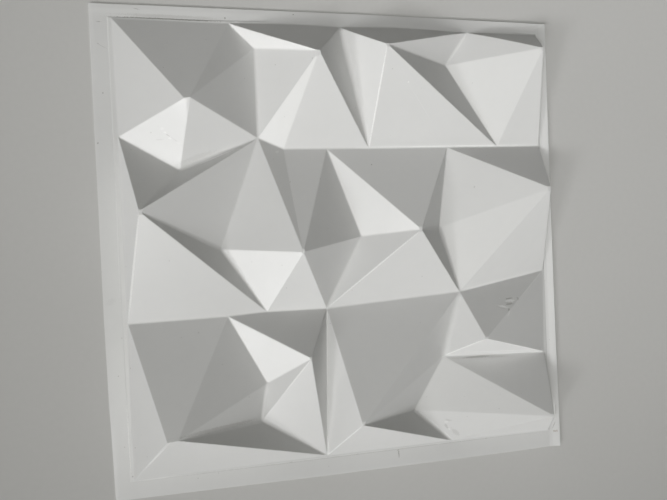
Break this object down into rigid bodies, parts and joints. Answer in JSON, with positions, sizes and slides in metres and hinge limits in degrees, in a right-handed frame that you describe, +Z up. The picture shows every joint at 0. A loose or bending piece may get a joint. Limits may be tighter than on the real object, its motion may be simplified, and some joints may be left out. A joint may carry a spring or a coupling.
{
  "type": "pvc wall panel",
  "caption": "Square white wall panel formed from one thin plastic sheet, with a flat flange round a relief of irregular faceted pyramids.",
  "frame": {"origin": "centre of the underside, in the plane that the flange rests on", "axes": "+Z up out of the relief, away from the wall when the panel is hung; +X along the panel and +Y across it, with the wider flanges on the -X and -Y sides"},
  "size_m": [0.5, 0.5, 0.039],
  "materials": {
    "white_pvc": "satin white, moulded through"
  },
  "bodies": {
    "root": {"panel_sheet": "white_pvc"}
  },
  "joints": []
}
